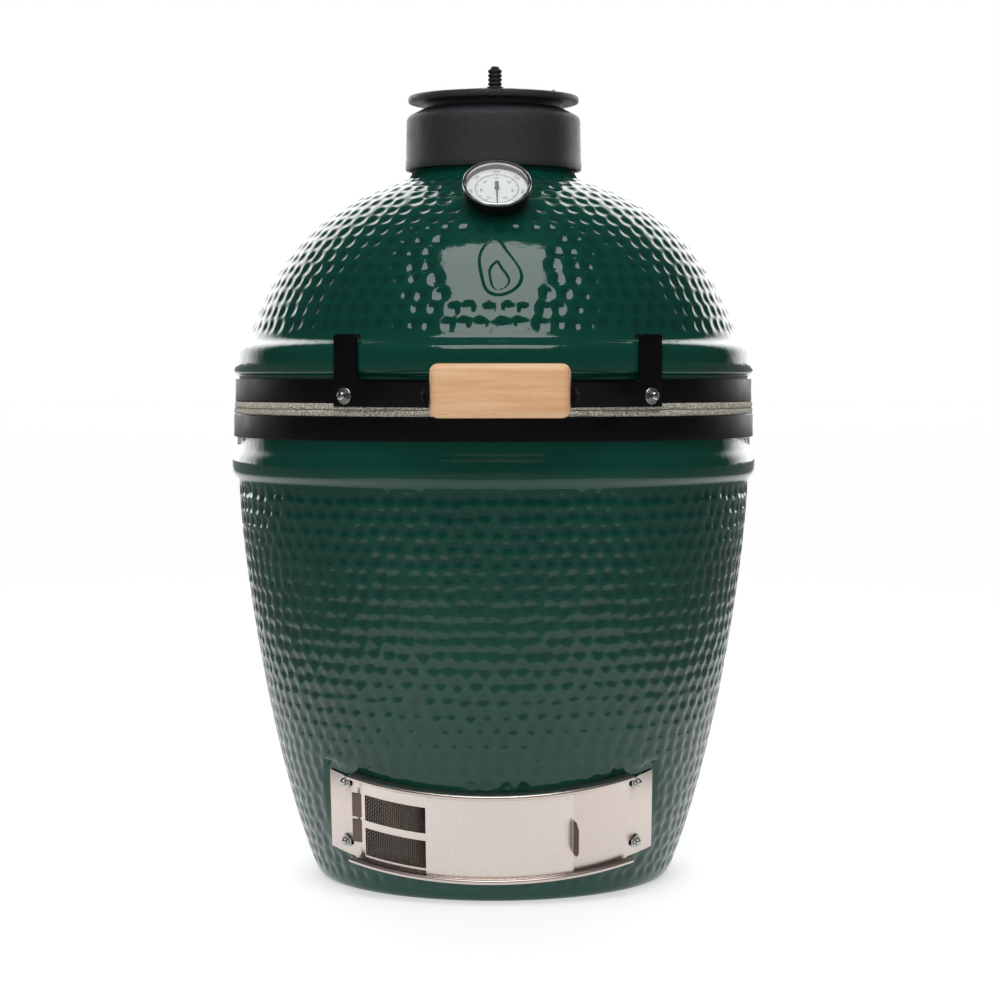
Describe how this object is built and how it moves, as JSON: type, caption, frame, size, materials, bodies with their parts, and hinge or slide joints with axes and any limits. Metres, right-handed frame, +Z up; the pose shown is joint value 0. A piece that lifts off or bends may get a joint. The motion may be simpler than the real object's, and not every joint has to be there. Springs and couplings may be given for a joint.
{
  "type": "kamado ceramic grill",
  "caption": "Egg-shaped charcoal grill of thick glazed ceramic: hinged dome with a swinging daisy-wheel vent, thermometer and wooden handle, on a base with a sliding draft door",
  "frame": {"origin": "middle of the flat underside that the base stands on", "axes": "+Z up, -Y towards the front with the handle and the draft door, +Y towards the rear hinge, +X to the right as seen from the front"},
  "size_m": [0.546, 0.647, 0.834],
  "materials": {
    "glazed_ceramic": "thick glossy deep green glaze over dimpled ceramic",
    "refractory_ceramic": "unglazed pale refractory, matt",
    "gasket_felt": "grey high temperature felt",
    "black_coated_steel": "black powder coat, satin",
    "cast_iron": "dark grey, fine cast texture",
    "stainless_steel": "brushed stainless",
    "hardwood": "pale oiled hardwood",
    "silicone_rubber": "matt black, ribbed",
    "dial_glass": "clear domed lens",
    "dial_enamel": "white dial with a grey scale",
    "black_aluminium": "matt black",
    "chrome_steel": "polished",
    "zinc_plated_steel": "bright zinc plating"
  },
  "bodies": {
    "base": {"base_shell": "glazed_ceramic", "firebox": "refractory_ceramic", "charcoal_grate": "cast_iron", "fire_ring": "refractory_ceramic", "base_gasket": "gasket_felt", "base_band": "black_coated_steel", "hinge_lower_leaf": "black_coated_steel", "hinge_pin": "zinc_plated_steel", "hinge_pin_nut": "zinc_plated_steel", "hinge_spring_left": "zinc_plated_steel", "hinge_spring_right": "zinc_plated_steel", "base_band_bolt_left": "zinc_plated_steel", "base_band_bolt_right": "zinc_plated_steel", "draft_plate": "stainless_steel", "draft_screw_upper_left": "zinc_plated_steel", "draft_screw_upper_right": "zinc_plated_steel", "draft_screw_lower_left": "zinc_plated_steel", "draft_screw_lower_right": "zinc_plated_steel"},
    "cooking_grid": {"cooking_grid": "stainless_steel"},
    "dome": {"dome_shell": "glazed_ceramic", "dome_gasket": "gasket_felt", "dome_band": "black_coated_steel", "hinge_upper_leaf": "black_coated_steel", "dome_band_bolt_left": "zinc_plated_steel", "dome_band_bolt_right": "zinc_plated_steel", "handle_bracket_left": "black_coated_steel", "handle_bracket_right": "black_coated_steel", "handle_grip": "hardwood", "bracket_spacer_left": "zinc_plated_steel", "bracket_spacer_right": "zinc_plated_steel", "bracket_bolt_left": "zinc_plated_steel", "bracket_bolt_right": "zinc_plated_steel", "handle_screw_left": "zinc_plated_steel", "handle_screw_right": "zinc_plated_steel", "thermometer_case": "chrome_steel", "thermometer_dial": "dial_enamel", "thermometer_lens": "dial_glass", "thermometer_stem": "zinc_plated_steel", "thermometer_clip": "zinc_plated_steel"},
    "needle": {"thermometer_needle": "black_aluminium"},
    "vent_top": {"vent_collar": "cast_iron", "vent_gasket": "gasket_felt", "vent_pivot_bolt": "cast_iron"},
    "vent_cap": {"vent_cap": "cast_iron", "daisy_bolt": "cast_iron", "daisy_nut": "zinc_plated_steel", "vent_knob_post": "cast_iron", "vent_knob_sleeve": "silicone_rubber"},
    "daisy_wheel": {"daisy_wheel": "cast_iron"},
    "draft_door": {"draft_door": "stainless_steel"},
    "draft_screen": {"draft_screen": "stainless_steel", "draft_mesh_lower": "stainless_steel", "draft_mesh_upper": "stainless_steel"}
  },
  "joints": [
    {"name": "dome_hinge", "type": "hinge", "parent": "base", "child": "dome", "pos_m": [0, 0.305, 0.4879], "axis": [-1, 0, 0], "range_deg": [0, 75], "stiffness_Nm_per_rad": 30, "springref_deg": 85.94},
    {"name": "grid_lift", "type": "slide", "parent": "base", "child": "cooking_grid", "axis": [0, 0, 1], "range_m": [0, 0.05]},
    {"name": "draft_door_slide", "type": "hinge", "parent": "base", "child": "draft_door", "pos_m": [0, 0, 0.13179], "axis": [-0.01, -0.2855, 0.9583], "range_deg": [-19.1, 16.4]},
    {"name": "draft_screen_slide", "type": "hinge", "parent": "base", "child": "draft_screen", "pos_m": [0, 0, 0.13179], "axis": [-0.01, -0.2855, 0.9583], "range_deg": [0, 36]},
    {"name": "vent_top_lift", "type": "slide", "parent": "dome", "child": "vent_top", "axis": [0, 0, 1], "range_m": [0, 0.06]},
    {"name": "vent_cap_swing", "type": "hinge", "parent": "vent_top", "child": "vent_cap", "pos_m": [0, 0.082, 0.8], "axis": [0, 0, 1], "range_deg": [0, 100]},
    {"name": "daisy_turn", "type": "hinge", "parent": "vent_cap", "child": "daisy_wheel", "pos_m": [0, 0, 0.813], "axis": [0, 0, 1], "range_deg": [0, 36]},
    {"name": "thermometer_turn", "type": "hinge", "parent": "dome", "child": "needle", "pos_m": [0, -0.181, 0.709], "axis": [0, 0.6884, -0.7254], "range_deg": [0, 320], "stiffness_Nm_per_rad": 0.001}
  ]
}
